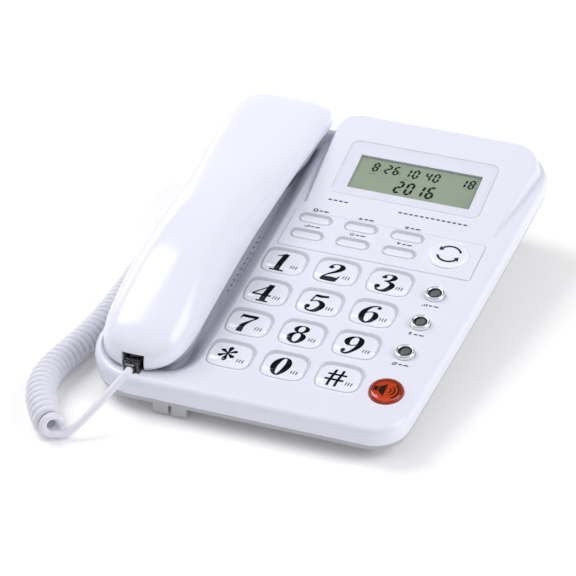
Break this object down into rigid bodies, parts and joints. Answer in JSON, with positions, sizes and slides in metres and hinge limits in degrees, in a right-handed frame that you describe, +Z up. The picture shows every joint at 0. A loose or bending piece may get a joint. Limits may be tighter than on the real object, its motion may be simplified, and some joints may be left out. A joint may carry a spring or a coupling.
{
  "type": "corded desk telephone",
  "caption": "Sloping desk telephone with clear dial keys, a tilted display, a handset on a side cradle, a hook plunger and a coiled handset cord.",
  "frame": {"origin": "centre of the footprint of the base and handset, on the desk, without the cord", "axes": "+Z up, the user sits at -Y, +X to the user's right; the handset lies on the -X side"},
  "size_m": [0.1787, 0.2369, 0.0571],
  "materials": {
    "white_shell": "glossy white ABS, faint cool tint",
    "grey_white_shell": "satin white ABS, a little greyer",
    "panel_white": "thin satin white overlay",
    "clear_window": "polished clear acrylic, white printed border",
    "lcd_glass": "grey-green reflective display glass",
    "dark_plastic": "fine matt black",
    "circuit_board": "green laminate",
    "silicone": "matt grey silicone rubber",
    "speaker_frame": "black painted pressed steel",
    "spring_steel": "bright drawn wire",
    "jack_plastic": "moulded dark grey",
    "steel_plate": "zinc plated",
    "foot_rubber": "soft grey rubber",
    "screw_steel": "zinc plated",
    "capsule_metal": "drawn can",
    "clear_plug": "clear polycarbonate",
    "cord_jacket": "white flexible PVC",
    "clear_key": "clear polished crystal cap over white",
    "small_key": "bright bevelled ring round a smoky centre",
    "orange_key": "clear orange-red cap"
  },
  "bodies": {
    "base": {"upper_case": "white_shell", "cradle_tray": "white_shell", "lower_case": "grey_white_shell", "function_panel": "panel_white", "display_window": "clear_window", "lcd_panel": "lcd_glass", "lcd_holder": "dark_plastic", "main_board": "circuit_board", "key_board": "circuit_board", "keypad_membrane": "silicone", "loudspeaker": "speaker_frame", "hook_switch": "dark_plastic", "hook_spring": "spring_steel", "line_jack": "jack_plastic", "cord_jack": "jack_plastic", "ballast_plate": "steel_plate", "rubber_feet": "foot_rubber", "case_screws": "screw_steel", "cord_tail_handset": "cord_jacket", "cord_coil": "cord_jacket", "cord_tail_base": "cord_jacket", "base_plug": "clear_plug"},
    "handset": {"handset_outer_shell": "white_shell", "handset_inner_shell": "grey_white_shell", "receiver_capsule": "dark_plastic", "microphone_capsule": "capsule_metal", "handset_weight": "steel_plate", "handset_jack": "jack_plastic", "handset_screws": "screw_steel", "handset_plug": "clear_plug"},
    "hook_plunger": {"hook_plunger": "grey_white_shell"},
    "key_1": {"key_1": "clear_key"},
    "key_2": {"key_2": "clear_key"},
    "key_3": {"key_3": "clear_key"},
    "key_4": {"key_4": "clear_key"},
    "key_5": {"key_5": "clear_key"},
    "key_6": {"key_6": "clear_key"},
    "key_7": {"key_7": "clear_key"},
    "key_8": {"key_8": "clear_key"},
    "key_9": {"key_9": "clear_key"},
    "key_star": {"key_star": "clear_key"},
    "key_0": {"key_0": "clear_key"},
    "key_hash": {"key_hash": "clear_key"},
    "store_key": {"store_key": "clear_key"},
    "up_key": {"up_key": "clear_key"},
    "delete_key": {"delete_key": "clear_key"},
    "recall_key": {"recall_key": "clear_key"},
    "set_key": {"set_key": "clear_key"},
    "down_key": {"down_key": "clear_key"},
    "redial_key": {"redial_key": "clear_key"},
    "volume_key": {"volume_key": "small_key"},
    "flash_key": {"flash_key": "small_key"},
    "mute_key": {"mute_key": "small_key"},
    "speaker_key": {"speaker_key": "orange_key"}
  },
  "joints": [
    {"name": "handset_lift", "type": "slide", "parent": "base", "child": "handset", "axis": [0, 0, 1], "range_m": [0, 0.08]},
    {"name": "hook_rise", "type": "slide", "parent": "base", "child": "hook_plunger", "axis": [0, 0, 1], "range_m": [0, 0.005], "deforming": ["hook_spring"]},
    {"name": "key_1_press", "type": "slide", "parent": "base", "child": "key_1", "axis": [0, 0.1305, -0.9914], "range_m": [0, 0.0016], "stiffness_N_per_m": 300, "springref_m": -0.001},
    {"name": "key_2_press", "type": "slide", "parent": "base", "child": "key_2", "axis": [0, 0.1305, -0.9914], "range_m": [0, 0.0016], "stiffness_N_per_m": 300, "springref_m": -0.001},
    {"name": "key_3_press", "type": "slide", "parent": "base", "child": "key_3", "axis": [0, 0.1305, -0.9914], "range_m": [0, 0.0016], "stiffness_N_per_m": 300, "springref_m": -0.001},
    {"name": "key_4_press", "type": "slide", "parent": "base", "child": "key_4", "axis": [0, 0.1305, -0.9914], "range_m": [0, 0.0016], "stiffness_N_per_m": 300, "springref_m": -0.001},
    {"name": "key_5_press", "type": "slide", "parent": "base", "child": "key_5", "axis": [0, 0.1305, -0.9914], "range_m": [0, 0.0016], "stiffness_N_per_m": 300, "springref_m": -0.001},
    {"name": "key_6_press", "type": "slide", "parent": "base", "child": "key_6", "axis": [0, 0.1305, -0.9914], "range_m": [0, 0.0016], "stiffness_N_per_m": 300, "springref_m": -0.001},
    {"name": "key_7_press", "type": "slide", "parent": "base", "child": "key_7", "axis": [0, 0.1305, -0.9914], "range_m": [0, 0.0016], "stiffness_N_per_m": 300, "springref_m": -0.001},
    {"name": "key_8_press", "type": "slide", "parent": "base", "child": "key_8", "axis": [0, 0.1305, -0.9914], "range_m": [0, 0.0016], "stiffness_N_per_m": 300, "springref_m": -0.001},
    {"name": "key_9_press", "type": "slide", "parent": "base", "child": "key_9", "axis": [0, 0.1305, -0.9914], "range_m": [0, 0.0016], "stiffness_N_per_m": 300, "springref_m": -0.001},
    {"name": "key_star_press", "type": "slide", "parent": "base", "child": "key_star", "axis": [0, 0.1305, -0.9914], "range_m": [0, 0.0016], "stiffness_N_per_m": 300, "springref_m": -0.001},
    {"name": "key_0_press", "type": "slide", "parent": "base", "child": "key_0", "axis": [0, 0.1305, -0.9914], "range_m": [0, 0.0016], "stiffness_N_per_m": 300, "springref_m": -0.001},
    {"name": "key_hash_press", "type": "slide", "parent": "base", "child": "key_hash", "axis": [0, 0.1305, -0.9914], "range_m": [0, 0.0016], "stiffness_N_per_m": 300, "springref_m": -0.001},
    {"name": "store_key_press", "type": "slide", "parent": "base", "child": "store_key", "axis": [0, 0.1305, -0.9914], "range_m": [0, 0.0016], "stiffness_N_per_m": 300, "springref_m": -0.001},
    {"name": "up_key_press", "type": "slide", "parent": "base", "child": "up_key", "axis": [0, 0.1305, -0.9914], "range_m": [0, 0.0016], "stiffness_N_per_m": 300, "springref_m": -0.001},
    {"name": "delete_key_press", "type": "slide", "parent": "base", "child": "delete_key", "axis": [0, 0.1305, -0.9914], "range_m": [0, 0.0016], "stiffness_N_per_m": 300, "springref_m": -0.001},
    {"name": "recall_key_press", "type": "slide", "parent": "base", "child": "recall_key", "axis": [0, 0.1305, -0.9914], "range_m": [0, 0.0016], "stiffness_N_per_m": 300, "springref_m": -0.001},
    {"name": "set_key_press", "type": "slide", "parent": "base", "child": "set_key", "axis": [0, 0.1305, -0.9914], "range_m": [0, 0.0016], "stiffness_N_per_m": 300, "springref_m": -0.001},
    {"name": "down_key_press", "type": "slide", "parent": "base", "child": "down_key", "axis": [0, 0.1305, -0.9914], "range_m": [0, 0.0016], "stiffness_N_per_m": 300, "springref_m": -0.001},
    {"name": "redial_key_press", "type": "slide", "parent": "base", "child": "redial_key", "axis": [0, 0.1305, -0.9914], "range_m": [0, 0.0016], "stiffness_N_per_m": 300, "springref_m": -0.001},
    {"name": "volume_key_press", "type": "slide", "parent": "base", "child": "volume_key", "axis": [0, 0.1305, -0.9914], "range_m": [0, 0.0016], "stiffness_N_per_m": 300, "springref_m": -0.001},
    {"name": "flash_key_press", "type": "slide", "parent": "base", "child": "flash_key", "axis": [0, 0.1305, -0.9914], "range_m": [0, 0.0016], "stiffness_N_per_m": 300, "springref_m": -0.001},
    {"name": "mute_key_press", "type": "slide", "parent": "base", "child": "mute_key", "axis": [0, 0.1305, -0.9914], "range_m": [0, 0.0016], "stiffness_N_per_m": 300, "springref_m": -0.001},
    {"name": "speaker_key_press", "type": "slide", "parent": "base", "child": "speaker_key", "axis": [0, 0.1305, -0.9914], "range_m": [0, 0.0016], "stiffness_N_per_m": 300, "springref_m": -0.001}
  ],
  "couplings": [
    {"joint": "hook_rise", "follows": "handset_lift", "ratio": 0.0625}
  ]
}
